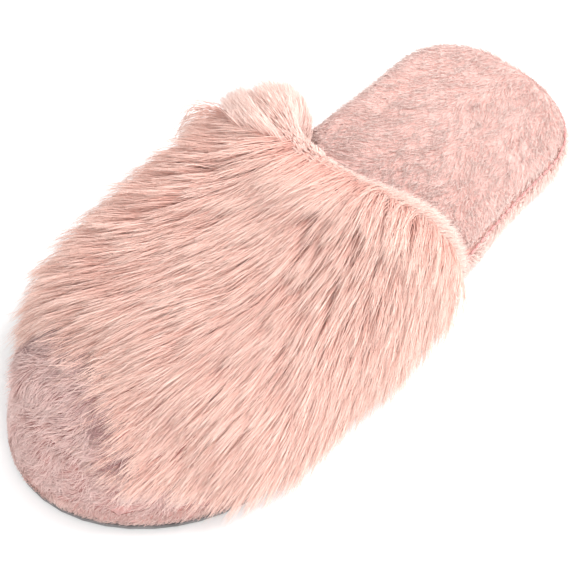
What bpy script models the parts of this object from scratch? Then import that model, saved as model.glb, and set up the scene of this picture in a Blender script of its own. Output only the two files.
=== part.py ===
"""A left closed-toe fluffy house slipper, as the pieces that it is sewn and glued from.

The toe points to -Y, the wearer's left side is +X and the slipper stands on z = 0.
Every layer follows one sole outline. The upper is a family of surfaces that run from the rim
seam, round the toe and both sides, up to the throat, and each fabric layer lies between two of
them. All sizes are in metres. Run it with: blender --background --python part.py
"""

import math

import bmesh
import bpy
from mathutils import Vector

MM = 0.001

# Sole outline: a blunt heel and a long toe, joined by sides that narrow towards the heel.
SOLE_LENGTH = 262 * MM
HEEL_HALF_WIDTH = 37.7 * MM
HEEL_ARC_LENGTH = 30.7 * MM
HEEL_BLUNTNESS = 2.3
BALL_HALF_WIDTH = 53.2 * MM
TOE_ARC_LENGTH = 72.5 * MM
TOE_BLUNTNESS = 2.05
TOE_SKEW = -7.4 * MM  # the toe leans to the big toe's side, -X on a left foot
OUTLINE_POINTS = 72

# Heights of the stack, from the floor up.
GAP = 0.3 * MM  # between pieces that touch
OUTSOLE_TOP = 2.8 * MM
WRAP_THICKNESS = 1.6 * MM
WRAP_BOTTOM = OUTSOLE_TOP + GAP
MIDSOLE_BOTTOM = WRAP_BOTTOM + WRAP_THICKNESS + GAP
MIDSOLE_TOP = MIDSOLE_BOTTOM + 5.4 * MM
BOARD_BOTTOM = MIDSOLE_TOP + GAP
BOARD_TOP = BOARD_BOTTOM + 1.2 * MM
RIM_SEAM = 12.5 * MM  # where the wrap, the upper and the footbed cover are sewn together
WRAP_TOP = RIM_SEAM - 0.2 * MM
COVER_BOTTOM = RIM_SEAM + 0.2 * MM
COVER_THICKNESS = 2.0 * MM
COVER_TOP = 19.2 * MM
COVER_HEEL_INSET = 1.0 * MM  # from the outline to the cushion's side, behind the throat
COVER_TOE_INSET = 10.6 * MM  # and under the upper
COVER_NECK_END = 14 * MM  # the inset changes behind each throat end, over this stretch
COVER_NECK_LENGTH = 9 * MM
HEEL_CUP_DEPTH = 1.6 * MM
HEEL_CUP_CENTRE = 84 * MM
HEEL_CUP_RADIUS = 46 * MM

# The outsole's edge, from the outline outwards.
OUTSOLE_AT_TOE = -0.7 * MM
OUTSOLE_AT_HEEL = -1.3 * MM
OUTSOLE_WIDE_FROM = -70 * MM
OUTSOLE_WIDENING = 40 * MM

# Tread of the outsole.
TREAD_DEPTH = 1.3 * MM
GROOVE_WIDTH = 2.2 * MM
GROOVE_PITCH = 9.5 * MM
GROOVE_WAVE = 2.2 * MM
GROOVE_WAVELENGTH = 26 * MM
GROOVE_EDGE_MARGIN = 9 * MM
FOREFOOT_GROOVES = (-114 * MM, -8 * MM)
HEEL_GROOVES = (56 * MM, 116 * MM)

# The upper: inner face of the lining at the rim and at the throat.
UPPER_BASE = 13.4 * MM
RIM_INSET = 7.5 * MM
THROAT_HALF_WIDTH = 37 * MM
THROAT_PEAK = 64 * MM
THROAT_BLUNTNESS = 2.4
THROAT_CENTRE_Y = 13 * MM
THROAT_NEAR_Y = 35 * MM  # where the throat meets the rim on the outer side, +X
THROAT_FAR_Y = 42 * MM  # and on the inner side, -X
TOE_RISE = 31 * MM
SIDE_RISE = 4 * MM
THROAT_REACH = 0.42
THROAT_DROP = 4 * MM
UPPER_END = 0.97  # how far round the rim the fabric runs, as a share of the way to the throat's ends
UPPER_COLUMNS, UPPER_ROWS = 34, 10

# Layers of the upper, as distances outward from the lining's inner face.
LINING = (0.0, 2.1 * MM)
PADDING = (2.6 * MM, 4.9 * MM)
PILE_BACKING = 5.4 * MM
PILE_SHORT = 5.5 * MM  # thickness of the combed pile at the rim
PILE_FULL = 14 * MM
PILE_AT_THROAT = 8 * MM
PILE_GROWTH = 0.4  # share of the way up over which the pile reaches its full thickness
PILE_REACH = 0.93  # like UPPER_END, for the long pile
PILE_STOP = 5.6 * MM  # how far short of the throat it ends, where the binding sits
BAND_THICKNESS = 3.4 * MM
BAND_HEIGHT = 0.19  # share of the way up at the toe tip
BAND_SPREAD = 0.5  # share of the rim, each way from the toe tip
BAND_SEAM = 0.014

# Throat binding, as a folded strip.
BINDING_THICKNESS = 1.5 * MM
BINDING_INNER_LEG = 7 * MM
BINDING_OUTER_LEG = 4 * MM

THREAD_RADIUS = 0.4 * MM
CLOSING_STITCHES = 5

UP = Vector((0, 0, 1))


# ---------------------------------------------------------------- helpers


def clear_scene():
    for obj in list(bpy.data.objects):
        bpy.data.objects.remove(obj)


def material(name, colour, roughness, metallic=0.0):
    made = bpy.data.materials.new(name)
    made.use_nodes = True
    shader = made.node_tree.nodes["Principled BSDF"]
    shader.inputs["Base Color"].default_value = (*colour, 1)
    shader.inputs["Roughness"].default_value = roughness
    shader.inputs["Metallic"].default_value = metallic
    return made


def finish_object(name, data, look, parent):
    obj = bpy.data.objects.new(name, data)
    bpy.context.scene.collection.objects.link(obj)
    obj.data.materials.append(look)
    obj.parent = parent
    return obj


def mesh_object(name, bm, look, parent, smooth=True):
    bmesh.ops.recalc_face_normals(bm, faces=bm.faces)
    mesh = bpy.data.meshes.new(name)
    bm.to_mesh(mesh)
    bm.free()
    if smooth:
        mesh.shade_smooth()
        mesh.set_sharp_from_angle(angle=math.radians(40))
    return finish_object(name, mesh, look, parent)


def thread_object(name, points, radius, look, parent, cyclic=False):
    """A round thread along the points."""
    curve = bpy.data.curves.new(name, "CURVE")
    curve.dimensions = "3D"
    curve.bevel_depth = radius
    curve.bevel_resolution = 1
    curve.use_fill_caps = not cyclic
    spline = curve.splines.new("POLY")
    spline.points.add(len(points) - 1)
    for place, point in zip(spline.points, points):
        place.co = (*point, 1)
    spline.use_cyclic_u = cyclic
    return finish_object(name, curve, look, parent)


def smoothstep(t):
    t = min(max(t, 0.0), 1.0)
    return t * t * (3 - 2 * t)


def mix(a, b, t):
    return a + (b - a) * t


def loft(rings, cap=None):
    """A closed body through rings of equal length, ending in flat caps unless cap fills them."""
    bm = bmesh.new()
    rows = [[bm.verts.new(point) for point in ring] for ring in rings]
    for low, high in zip(rows, rows[1:]):
        for i in range(len(low)):
            j = (i + 1) % len(low)
            bm.faces.new((low[i], low[j], high[j]))
            bm.faces.new((low[i], high[j], high[i]))
    for row in (rows[0], rows[-1]):
        if cap:
            cap(bm, row)
        else:
            bm.faces.new(row)
    return bm


def strip_cap(bm, row):
    """Fills an even ring with strips from one side to the other, so that it may be curved."""
    half = len(row) // 2
    bm.faces.new((row[0], row[1], row[-1]))
    for i in range(1, half - 1):
        bm.faces.new((row[i], row[i + 1], row[-i - 1]))
        bm.faces.new((row[i], row[-i - 1], row[-i]))
    bm.faces.new((row[half - 1], row[half], row[half + 1]))


def shell(inner, outer):
    """A closed body between two equal grids of points, a list of columns each."""
    bm = bmesh.new()
    sides = [[[bm.verts.new(p) for p in column] for column in grid] for grid in (inner, outer)]
    last, top = len(inner) - 1, len(inner[0]) - 1
    for grid in sides:
        for i in range(last):
            for j in range(top):
                bm.faces.new((grid[i][j], grid[i + 1][j], grid[i + 1][j + 1], grid[i][j + 1]))
    a, b = sides
    for i in range(last):
        for j in (0, top):
            bm.faces.new((a[i][j], a[i + 1][j], b[i + 1][j], b[i][j]))
    for j in range(top):
        for i in (0, last):
            bm.faces.new((a[i][j], a[i][j + 1], b[i][j + 1], b[i][j]))
    return bm


# ---------------------------------------------------------------- the sole outline


def resample(points, count):
    """The closed line through points as evenly spaced points, the first one kept."""
    line = points + points[:1]
    lengths = [0.0]
    for a, b in zip(line, line[1:]):
        lengths.append(lengths[-1] + (b - a).length)
    spaced, k = [], 0
    for i in range(count):
        wanted = lengths[-1] * i / count
        while lengths[k + 1] < wanted:
            k += 1
        share = (wanted - lengths[k]) / (lengths[k + 1] - lengths[k])
        spaced.append(line[k].lerp(line[k + 1], share))
    return spaced


def half_outline(side, steps=60):
    """From the toe tip to the heel tip along one side: toe arc, smooth flank, heel arc."""
    toe_y = -SOLE_LENGTH / 2 + TOE_ARC_LENGTH
    heel_y = SOLE_LENGTH / 2 - HEEL_ARC_LENGTH
    points = []
    for i in range(steps):
        angle = math.pi / 2 * i / steps
        across = math.sin(angle) ** (2 / TOE_BLUNTNESS)
        along = math.cos(angle) ** (2 / TOE_BLUNTNESS)
        x = side * BALL_HALF_WIDTH * across + TOE_SKEW * along**2
        points.append(Vector((x, toe_y - TOE_ARC_LENGTH * along)))
    for i in range(steps):
        t = i / steps
        half_width = mix(BALL_HALF_WIDTH, HEEL_HALF_WIDTH, smoothstep(t))
        points.append(Vector((side * half_width, mix(toe_y, heel_y, t))))
    for i in range(steps + 1):
        angle = math.pi / 2 * i / steps
        across = max(math.cos(angle), 0.0) ** (2 / HEEL_BLUNTNESS)
        along = math.sin(angle) ** (2 / HEEL_BLUNTNESS)
        points.append(Vector((side * HEEL_HALF_WIDTH * across, heel_y + HEEL_ARC_LENGTH * along)))
    return points


def whole_outline(count):
    """Counter-clockwise from above, starting at the toe tip: +X side, heel, -X side."""
    near, far = half_outline(1), half_outline(-1)
    return resample(near + far[-2:0:-1], count)


def outward_normals(points):
    normals = []
    for i, point in enumerate(points):
        along = points[(i + 1) % len(points)] - points[i - 1]
        normals.append(Vector((along.y, -along.x)).normalized())
    return normals


OUTLINE = whole_outline(OUTLINE_POINTS)
NORMALS = outward_normals(OUTLINE)
HEEL_TIP = max(range(OUTLINE_POINTS), key=lambda i: OUTLINE[i].y)


def ring(offset, height):
    """The outline moved outward by offset, which may be a function of the point, at a height."""
    made = []
    for point, normal in zip(OUTLINE, NORMALS):
        moved = point + normal * (offset(point) if callable(offset) else offset)
        made.append(Vector((moved.x, moved.y, height)))
    return made


# ---------------------------------------------------------------- the sole


def groove_cutter():
    """Wavy grooves across the forefoot and the heel, as one cutter of separate bars."""
    bm = bmesh.new()
    for start, end in (FOREFOOT_GROOVES, HEEL_GROOVES):
        for k in range(int((end - start) / GROOVE_PITCH) + 1):
            add_groove(bm, start + k * GROOVE_PITCH)
    cutter = mesh_object("groove_cutter", bm, material("cutter", (1, 0, 0), 1), None, smooth=False)
    cutter.hide_render = True
    cutter.display_type = "WIRE"
    return cutter


def outline_reach(y, side):
    """How far the outline goes to one side at this y."""
    crossings = [
        p.x for p, q in zip(OUTLINE, OUTLINE[1:] + OUTLINE[:1]) if (p.y - y) * (q.y - y) <= 0
    ]
    return max(crossings) if side > 0 else min(crossings)


def add_groove(bm, y, steps=12):
    """One wavy bar, as deep below the floor as it cuts into the tread."""
    low = outline_reach(y, -1) + GROOVE_EDGE_MARGIN
    high = outline_reach(y, 1) - GROOVE_EDGE_MARGIN
    corners = [(-1, -1), (1, -1), (1, 1), (-1, 1)]
    sections = []
    for i in range(steps + 1):
        x = mix(low, high, i / steps)
        wave = y + GROOVE_WAVE * math.cos(2 * math.pi * x / GROOVE_WAVELENGTH)
        places = [(x, wave + a * GROOVE_WIDTH / 2, b * TREAD_DEPTH) for a, b in corners]
        sections.append([bm.verts.new(place) for place in places])
    for a, b in zip(sections, sections[1:]):
        for i in range(4):
            j = (i + 1) % 4
            bm.faces.new((a[i], a[j], b[j], b[i]))
    bm.faces.new(sections[0])
    bm.faces.new(sections[-1])


def outsole_ring(bulge, height):
    """The sole's edge shows under the plush at the toe, and is drawn in under it behind the ball."""
    return ring(lambda point: bulge + mix(OUTSOLE_AT_HEEL, OUTSOLE_AT_TOE, toe_share(point)), height)


def toe_share(point):
    return smoothstep((OUTSOLE_WIDE_FROM - point.y) / OUTSOLE_WIDENING)


def make_outsole(look, parent):
    profile = ((-1.6, 0.0), (-0.8, 0.35), (-0.2, 1.2), (0.0, 2.2), (-0.2, 2.8))
    bm = loft([outsole_ring(offset * MM, height * MM) for offset, height in profile])
    outsole = mesh_object("outsole", bm, look, parent)
    tread = outsole.modifiers.new("tread", "BOOLEAN")
    tread.operation = "DIFFERENCE"
    tread.solver = "EXACT"
    tread.object = groove_cutter()
    return outsole


def make_slab(name, offset, bottom, top, edge, look, parent):
    """A flat sheet cut to the outline, with its two edges eased."""
    rings = [
        ring(offset - edge, bottom),
        ring(offset, bottom + edge),
        ring(offset, top - edge),
        ring(offset - edge, top),
    ]
    return mesh_object(name, loft(rings), look, parent)


def wrap_profile():
    """(offset, height) round the strip's section: its margin under the midsole, then its side."""
    outer = [(-12, 3.1), (-1.8, 3.1), (-0.2, 3.8), (0.7, 5.6), (0.8, 8.2), (0.3, 10.8), (-1.0, 12.3)]
    inner = [(-2.6, 12.3), (-1.5, 10.6), (-0.9, 8.2), (-1.0, 5.9), (-1.7, 4.9), (-12, 4.7)]
    return [(offset * MM, height * MM) for offset, height in outer + inner]


def make_side_wrap(look, parent):
    """The plush strip round the sole. Its two ends face each other at the heel tip."""
    places = [(HEEL_TIP + i) % OUTLINE_POINTS for i in range(OUTLINE_POINTS + 1)]
    sections = [wrap_section(OUTLINE[k], NORMALS[k]) for k in places]
    for end, next_in in ((0, 1), (-1, -2)):
        pairs = zip(sections[end], sections[next_in])
        sections[end] = [a + (b - a).normalized() * GAP for a, b in pairs]
    return mesh_object("side_wrap", loft(sections), look, parent)


def wrap_section(point, normal):
    section = []
    for offset, height in wrap_profile():
        moved = point + normal * offset
        section.append(Vector((moved.x, moved.y, height)))
    return section


def cushion_inset(point):
    """The footbed reaches the rim at the heel, and stops inside the lining in the forefoot."""
    throat_end = THROAT_NEAR_Y if point.x > 0 else THROAT_FAR_Y
    forefoot = smoothstep((throat_end + COVER_NECK_END - point.y) / COVER_NECK_LENGTH)
    return mix(COVER_HEEL_INSET, COVER_TOE_INSET, forefoot)


def cushion_ring(bulge, height):
    return ring(lambda point: bulge - cushion_inset(point), height)


def spine_ring(share, outer_ring):
    """The ring drawn in towards the sole's middle line, with the heel cup pressed into it."""
    made = []
    spine = SOLE_LENGTH / 2 - HEEL_HALF_WIDTH
    for point in outer_ring:
        middle = Vector((0, min(max(point.y, -spine), spine), point.z))
        moved = point.lerp(middle, share)
        from_cup = math.hypot(moved.x, moved.y - HEEL_CUP_CENTRE) / HEEL_CUP_RADIUS
        moved.z -= HEEL_CUP_DEPTH * smoothstep(1.4 - from_cup)
        made.append(moved)
    return made


def cushion_face(offset, height):
    """Rings of the cushion's flat face, from its edge inwards."""
    edge = cushion_ring(offset, height)
    return [edge] + [spine_ring(share, edge) for share in (0.2, 0.5, 0.85)]


def make_footbed_cover(look, parent):
    """A plush cover drawn down over the foam to the rim seam."""
    rings = cushion_face(-3.2 * MM, COVER_TOP)[::-1]
    rings += [
        cushion_ring(-0.9 * MM, 18.1 * MM),
        cushion_ring(0.7 * MM, 15.9 * MM),
        cushion_ring(0.6 * MM, 14.2 * MM),
        cushion_ring(0.0, COVER_BOTTOM),
        cushion_ring(-COVER_THICKNESS, COVER_BOTTOM),
        cushion_ring(0.6 * MM - COVER_THICKNESS, 14.2 * MM),
        cushion_ring(0.5 * MM - COVER_THICKNESS, 15.6 * MM),
    ]
    rings += cushion_face(-4.6 * MM, COVER_TOP - COVER_THICKNESS)
    return mesh_object("footbed_cover", loft(rings, strip_cap), look, parent)


def make_insole_foam(look, parent):
    clear = COVER_THICKNESS + GAP
    rings = [
        cushion_ring(-4.0 * MM, BOARD_TOP + GAP),
        cushion_ring(0.2 * MM - clear, 14.2 * MM),
        cushion_ring(0.1 * MM - clear, 15.4 * MM),
    ]
    rings += cushion_face(-4.6 * MM, COVER_TOP - clear)
    return mesh_object("insole_foam", loft(rings, strip_cap), look, parent)


# ---------------------------------------------------------------- the upper


def rim_arc(side):
    """The outline from the toe tip to the throat's end on one side, as points and normals."""
    end = THROAT_NEAR_Y if side > 0 else THROAT_FAR_Y
    fine = whole_outline(8 * OUTLINE_POINTS)
    normals = outward_normals(fine)
    pairs = list(zip(fine, normals))
    if side < 0:
        pairs = pairs[:1] + pairs[:0:-1]
    arc = []
    for point, normal in pairs:
        if point.y > end:
            break
        arc.append((point, normal))
    return arc


RIM_ARCS = {side: rim_arc(side) for side in (1, -1)}


def rim_point(u, offset):
    """The rim at u, from -1 at the inner throat end over 0 at the toe tip to 1, moved outward."""
    arc = RIM_ARCS[1 if u >= 0 else -1]
    place = abs(u) * (len(arc) - 1)
    k = min(int(place), len(arc) - 2)
    point = arc[k][0].lerp(arc[k + 1][0], place - k)
    normal = arc[k][1].lerp(arc[k + 1][1], place - k).normalized()
    moved = point + normal * offset
    return Vector((moved.x, moved.y, UPPER_BASE))


def throat_point(u, distance):
    """The throat's edge at u for the layer at this distance from the lining's inner face."""
    angle = u * math.pi / 2
    across = math.copysign(abs(math.sin(angle)) ** (2 / THROAT_BLUNTNESS), angle)
    rise = math.cos(angle) ** (2 / THROAT_BLUNTNESS)
    end_y = THROAT_NEAR_Y if u >= 0 else THROAT_FAR_Y
    x = (THROAT_HALF_WIDTH + distance) * across
    y = mix(THROAT_CENTRE_Y, end_y, math.sin(angle) ** 2)
    z = UPPER_BASE + (THROAT_PEAK - UPPER_BASE + distance) * rise
    return Vector((x, y, z))


def column_controls(u, distance):
    """The four Bezier points of the upper's surface at u."""
    start = rim_point(u, distance - RIM_INSET)
    end = throat_point(u, distance)
    crown = math.cos(u * math.pi / 2)
    rise = UP * mix(SIDE_RISE, TOE_RISE + distance * 0.5, crown)
    towards_rim = (start - end) * THROAT_REACH
    towards_rim.z = -THROAT_DROP * crown
    return start, start + rise, end + towards_rim, end


def upper_point(u, t, distance):
    """The upper's surface: t runs from the rim, 0, to the throat, 1."""
    weights = ((1 - t) ** 3, 3 * t * (1 - t) ** 2, 3 * t * t * (1 - t), t**3)
    controls = column_controls(u, distance)
    return sum((c * w for c, w in zip(controls, weights)), Vector((0, 0, 0)))


def columns(reach=UPPER_END, count=UPPER_COLUMNS):
    return [mix(-reach, reach, i / count) for i in range(count + 1)]


def upper_grid(distance, bottom=lambda u: 0.0, top=lambda u: 1.0, us=None, rows=UPPER_ROWS):
    """Columns of points on one surface. distance may depend on u and t."""
    grid = []
    for u in us or columns():
        column = []
        for j in range(rows + 1):
            t = mix(bottom(u), top(u), j / rows)
            away = distance(u, t) if callable(distance) else distance
            column.append(upper_point(u, t, away))
        grid.append(column)
    return grid


def band_top(u):
    """How far up the toe band reaches."""
    return BAND_HEIGHT * max(0.0, 1 - (u / BAND_SPREAD) ** 2)


def pile_bottom(u):
    return band_top(u) + BAND_SEAM


def pile_top(u):
    *_, before, end = column_controls(u, PILE_BACKING)
    return 1 - PILE_STOP / (3 * (end - before).length)


def pile_outside(u, t):
    """Outer face of the combed pile: thin at the rim and the throat, full between."""
    grown = mix(PILE_SHORT, PILE_FULL, smoothstep(t / PILE_GROWTH))
    eased = mix(grown, PILE_AT_THROAT, smoothstep((t - 0.7) / 0.3))
    return PILE_BACKING + eased


def make_upper_layer(name, layer, look, parent):
    bm = shell(upper_grid(layer[0]), upper_grid(layer[1]))
    return mesh_object(name, bm, look, parent)


def make_upper_fur(look, parent):
    us = columns(PILE_REACH)
    inner = upper_grid(PILE_BACKING, pile_bottom, pile_top, us)
    outer = upper_grid(pile_outside, pile_bottom, pile_top, us)
    return mesh_object("upper_fur", shell(inner, outer), look, parent)


def make_toe_band(look, parent):
    us = columns(reach=BAND_SPREAD * 0.97, count=18)
    inner = upper_grid(PILE_BACKING, top=band_top, us=us, rows=4)
    outer = upper_grid(PILE_BACKING + BAND_THICKNESS, top=band_top, us=us, rows=4)
    return mesh_object("toe_band", shell(inner, outer), look, parent)


def binding_section(u):
    """The folded strip's section at u: inner leg, fold over the edge, outer leg."""
    thick = BINDING_THICKNESS
    inside, outside = -0.4 * MM, PADDING[1] + 0.4 * MM
    path = (
        (inside, -BINDING_INNER_LEG),
        (inside, 0.4 * MM),
        (outside, 0.4 * MM),
        (outside, -BINDING_OUTER_LEG),
        (outside + thick, -BINDING_OUTER_LEG),
        (outside + thick, 0.6 * MM),
        (outside, thick + 0.4 * MM),
        (inside, thick + 0.4 * MM),
        (inside - thick, 0.6 * MM),
        (inside - thick, -BINDING_INNER_LEG),
    )
    section = []
    for distance, beyond in path:
        edge = upper_point(u, 1.0, distance)
        out = (edge - upper_point(u, 0.97, distance)).normalized()
        section.append(edge + out * beyond)
    return section


def make_throat_binding(look, parent):
    sections = [binding_section(u) for u in columns()]
    return mesh_object("throat_binding", loft(sections), look, parent)


# ---------------------------------------------------------------- the threads


def make_rim_thread(look, parent):
    """Round the whole rim, in the groove between the wrap and the footbed cover."""
    points = ring(-0.3 * MM, RIM_SEAM)
    return thread_object("rim_seam_thread", points, THREAD_RADIUS, look, parent, cyclic=True)


def make_throat_thread(look, parent):
    """Along the binding's outer leg."""
    distance = PADDING[1] + 0.4 * MM + BINDING_THICKNESS + 0.3 * MM + THREAD_RADIUS
    points = []
    for u in columns(reach=UPPER_END * 0.985, count=48):
        edge = upper_point(u, 1.0, distance)
        out = (edge - upper_point(u, 0.97, distance)).normalized()
        points.append(edge - out * 1.8 * MM)
    return thread_object("throat_seam_thread", points, THREAD_RADIUS, look, parent)


def make_band_thread(look, parent):
    """In the seam between the toe band and the long pile."""
    points = []
    for u in columns(reach=BAND_SPREAD * 0.94, count=30):
        points.append(upper_point(u, band_top(u) + BAND_SEAM / 2, PILE_BACKING + 2 * THREAD_RADIUS))
    return thread_object("toe_band_thread", points, THREAD_RADIUS, look, parent)


def make_closing_thread(look, parent):
    """The zigzag that closes the side wrap's ends at the heel tip."""
    point, normal = OUTLINE[HEEL_TIP], NORMALS[HEEL_TIP]
    across = Vector((-normal.y, normal.x))
    low, high = WRAP_BOTTOM + 2.2 * MM, WRAP_TOP - 2.2 * MM
    points = []
    for i in range(2 * CLOSING_STITCHES + 1):
        swing = 2.2 * MM * (1 if i % 2 else -1)
        place = point + normal * (0.8 * MM + GAP + THREAD_RADIUS) + across * swing
        points.append(Vector((place.x, place.y, mix(low, high, i / (2 * CLOSING_STITCHES)))))
    return thread_object("wrap_closing_thread", points, 0.3 * MM, look, parent)


# ---------------------------------------------------------------- the slipper


def centre_on_origin(root):
    """Moves the whole slipper so that its bounding box stands centred on the origin."""
    bpy.context.view_layer.update()
    corners = [
        child.matrix_world @ Vector(corner) for child in root.children for corner in child.bound_box
    ]
    for axis in (0, 1):
        values = [corner[axis] for corner in corners]
        root.location[axis] -= (min(values) + max(values)) / 2


def build():
    clear_scene()
    root = bpy.data.objects.new("slipper_origin", None)
    bpy.context.scene.collection.objects.link(root)

    long_pile = material("long_pile_fabric", (0.86, 0.56, 0.49), 0.75)
    plush = material("short_plush_fabric", (0.90, 0.62, 0.56), 0.85)
    lining = material("lining_plush", (0.94, 0.74, 0.67), 0.85)
    foam = material("foam", (0.93, 0.91, 0.84), 0.9)
    board = material("fibreboard", (0.62, 0.50, 0.38), 0.85)
    rubber = material("outsole_rubber", (0.33, 0.31, 0.31), 0.7)
    thread = material("sewing_thread", (0.62, 0.33, 0.30), 0.6)

    make_outsole(rubber, root)
    make_side_wrap(plush, root)
    make_slab("midsole_foam", -2.0 * MM, MIDSOLE_BOTTOM, MIDSOLE_TOP, 0.6 * MM, foam, root)
    make_slab("insole_board", -3.4 * MM, BOARD_BOTTOM, BOARD_TOP, 0.2 * MM, board, root)
    make_insole_foam(foam, root)
    make_footbed_cover(plush, root)

    make_upper_layer("upper_lining", LINING, lining, root)
    make_upper_layer("upper_padding", PADDING, foam, root)
    make_upper_fur(long_pile, root)
    make_toe_band(plush, root)
    make_throat_binding(lining, root)

    make_rim_thread(thread, root)
    make_throat_thread(thread, root)
    make_band_thread(thread, root)
    make_closing_thread(thread, root)
    centre_on_origin(root)


build()
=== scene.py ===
import math

import bmesh
import bpy
import numpy as np
from mathutils import Matrix, Vector
from mathutils.kdtree import KDTree


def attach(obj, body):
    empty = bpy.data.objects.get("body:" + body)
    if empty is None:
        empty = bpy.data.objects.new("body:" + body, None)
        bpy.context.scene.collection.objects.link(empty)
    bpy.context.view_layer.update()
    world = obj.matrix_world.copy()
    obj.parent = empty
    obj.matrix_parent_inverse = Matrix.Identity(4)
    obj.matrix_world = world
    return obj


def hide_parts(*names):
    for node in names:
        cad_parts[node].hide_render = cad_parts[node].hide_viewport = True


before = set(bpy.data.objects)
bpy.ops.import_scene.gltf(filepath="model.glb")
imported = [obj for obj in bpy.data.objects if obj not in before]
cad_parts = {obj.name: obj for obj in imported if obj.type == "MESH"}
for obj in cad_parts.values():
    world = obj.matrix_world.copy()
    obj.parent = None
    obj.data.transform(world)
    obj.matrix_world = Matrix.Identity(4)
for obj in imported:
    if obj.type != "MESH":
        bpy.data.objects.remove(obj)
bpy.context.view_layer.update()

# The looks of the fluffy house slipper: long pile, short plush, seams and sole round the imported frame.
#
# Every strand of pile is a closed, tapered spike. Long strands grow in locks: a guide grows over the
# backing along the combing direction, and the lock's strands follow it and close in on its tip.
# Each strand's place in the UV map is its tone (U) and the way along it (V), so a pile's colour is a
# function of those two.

MM = 0.001
UP = np.array([0.0, 0.0, 1.0])
UV_MAP = "OFBake"
DENSITY = 1.0
WELD = 0.01 * MM  # vertices this close are one

# The stretch of the slipper's long axis that outward-facing surfaces look away from, in Y.
SPINE_TOE = -75 * MM
SPINE_HEEL = 90 * MM
UPPER_SPINE_TOE = -70 * MM
UPPER_SPINE_HEIGHT = 22 * MM

# Camera: a long lens above the toe end, from the outer side.
CAMERA_AZIMUTH = math.radians(41.7)
CAMERA_ELEVATION = math.radians(54)
CAMERA_DISTANCE = 1.25
CAMERA_LENS = 208
CAMERA_SENSOR = 36
CAMERA_AIM_RIGHT = -4.45 * MM  # from the frame's origin to the middle of the picture
CAMERA_AIM_UP = 3.0 * MM

# Long pile.
LOCK_SPACING = 2.05 * MM
LOCK_STRANDS = 10
LOCK_SPREAD = 1.1 * MM
LOCK_CLOSING = 0.58
PILE_LENGTH = 28 * MM
PILE_RADIUS = 0.125 * MM
PILE_STEPS = 7
PILE_STIFFNESS = 0.72
COMB_AT_THROAT = np.array([-0.12, -1.0, 0.0])
COMB_AT_TOE = np.array([-0.5, -0.86, 0.0])
SIDE_LIMIT = 68 * MM  # the pile's reach to each side is eased in beyond this
TOE_CAP_EDGE = (-92 * MM, -121 * MM)  # the long pile's last roots, in Y, on the inner and outer side
COLLAR_WIDTH = 7.5 * MM  # of the strip beside the throat's inner end that the lining's pile covers

# Every pile.
MOST_TRIANGLES = 190_000  # in one piece
RADIUS_SPREAD = (0.75, 1.25)


# ---------------------------------------------------------------- small helpers


def unit(v):
    return v / np.maximum(np.linalg.norm(v, axis=-1, keepdims=True), 1e-9)


def smoothstep(t):
    t = np.clip(t, 0.0, 1.0)
    return t * t * (3 - 2 * t)


def mix(a, b, t):
    return a + (b - a) * t


def tangential(vectors, normals):
    """The vectors with what points along the normals taken out."""
    return vectors - normals * np.sum(vectors * normals, axis=-1, keepdims=True)


def wave_noise(points, size, seed, count=3):
    """Smooth noise for each point, with components of about -1 to 1 and features of about this size."""
    rng = np.random.default_rng(seed)
    total = np.zeros((len(points), count))
    waves = 7
    for _ in range(waves):
        direction = unit(rng.normal(size=(3, count)).T).T
        pitch = rng.uniform(0.7, 1.5) * 2 * np.pi / size
        total += np.sin(points @ direction * pitch + rng.uniform(0, 2 * np.pi, count))
    return total / math.sqrt(waves)


# ---------------------------------------------------------------- materials


class Nodes:
    """A material's node tree, with calls that add a linked node."""

    def __init__(self, name):
        self.material = bpy.data.materials.new(name)
        self.material.use_nodes = True
        self.tree = self.material.node_tree
        self.shader = self.tree.nodes["Principled BSDF"]

    def add(self, kind, **settings):
        node = self.tree.nodes.new(kind)
        for key, value in settings.items():
            if key in node.inputs:
                self.feed(value, node.inputs[key])
            else:
                setattr(node, key, value)
        return node

    def feed(self, value, socket):
        if isinstance(value, bpy.types.NodeSocket):
            self.tree.links.new(value, socket)
        else:
            socket.default_value = value

    def object_coordinates(self):
        return self.add("ShaderNodeTexCoord").outputs["Object"]

    def noise(self, coordinates, scale, detail=3.0, roughness=0.55):
        node = self.add(
            "ShaderNodeTexNoise", Vector=coordinates, Scale=scale, Detail=detail, Roughness=roughness
        )
        return node.outputs["Fac"]

    def ramp(self, factor, stops):
        node = self.add("ShaderNodeValToRGB", Fac=factor)
        elements = node.color_ramp.elements
        while len(elements) < len(stops):
            elements.new(0.5)
        for element, (place, colour) in zip(elements, stops):
            element.position = place
            element.color = (*colour, 1)
        return node.outputs["Color"]

    def blend(self, factor, a, b, kind="MIX"):
        node = self.add("ShaderNodeMix", data_type="RGBA", blend_type=kind)
        self.feed(factor, node.inputs[0])
        for value, socket in ((a, node.inputs[6]), (b, node.inputs[7])):
            self.feed(value if isinstance(value, bpy.types.NodeSocket) else (*value, 1), socket)
        return node.outputs[2]

    def bump(self, height, distance, strength=1.0):
        node = self.add("ShaderNodeBump", Height=height, Strength=strength, Distance=distance)
        self.feed(node.outputs["Normal"], self.shader.inputs["Normal"])

    def surface(self, colour, roughness, sheen=0.0, specular=0.5, sheen_tint=(1, 1, 1)):
        self.feed(colour, self.shader.inputs["Base Color"])
        self.feed(roughness, self.shader.inputs["Roughness"])
        self.shader.inputs["Specular IOR Level"].default_value = specular
        self.shader.inputs["Sheen Weight"].default_value = sheen
        self.shader.inputs["Sheen Tint"].default_value = (*sheen_tint, 1)
        return self.material


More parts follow.
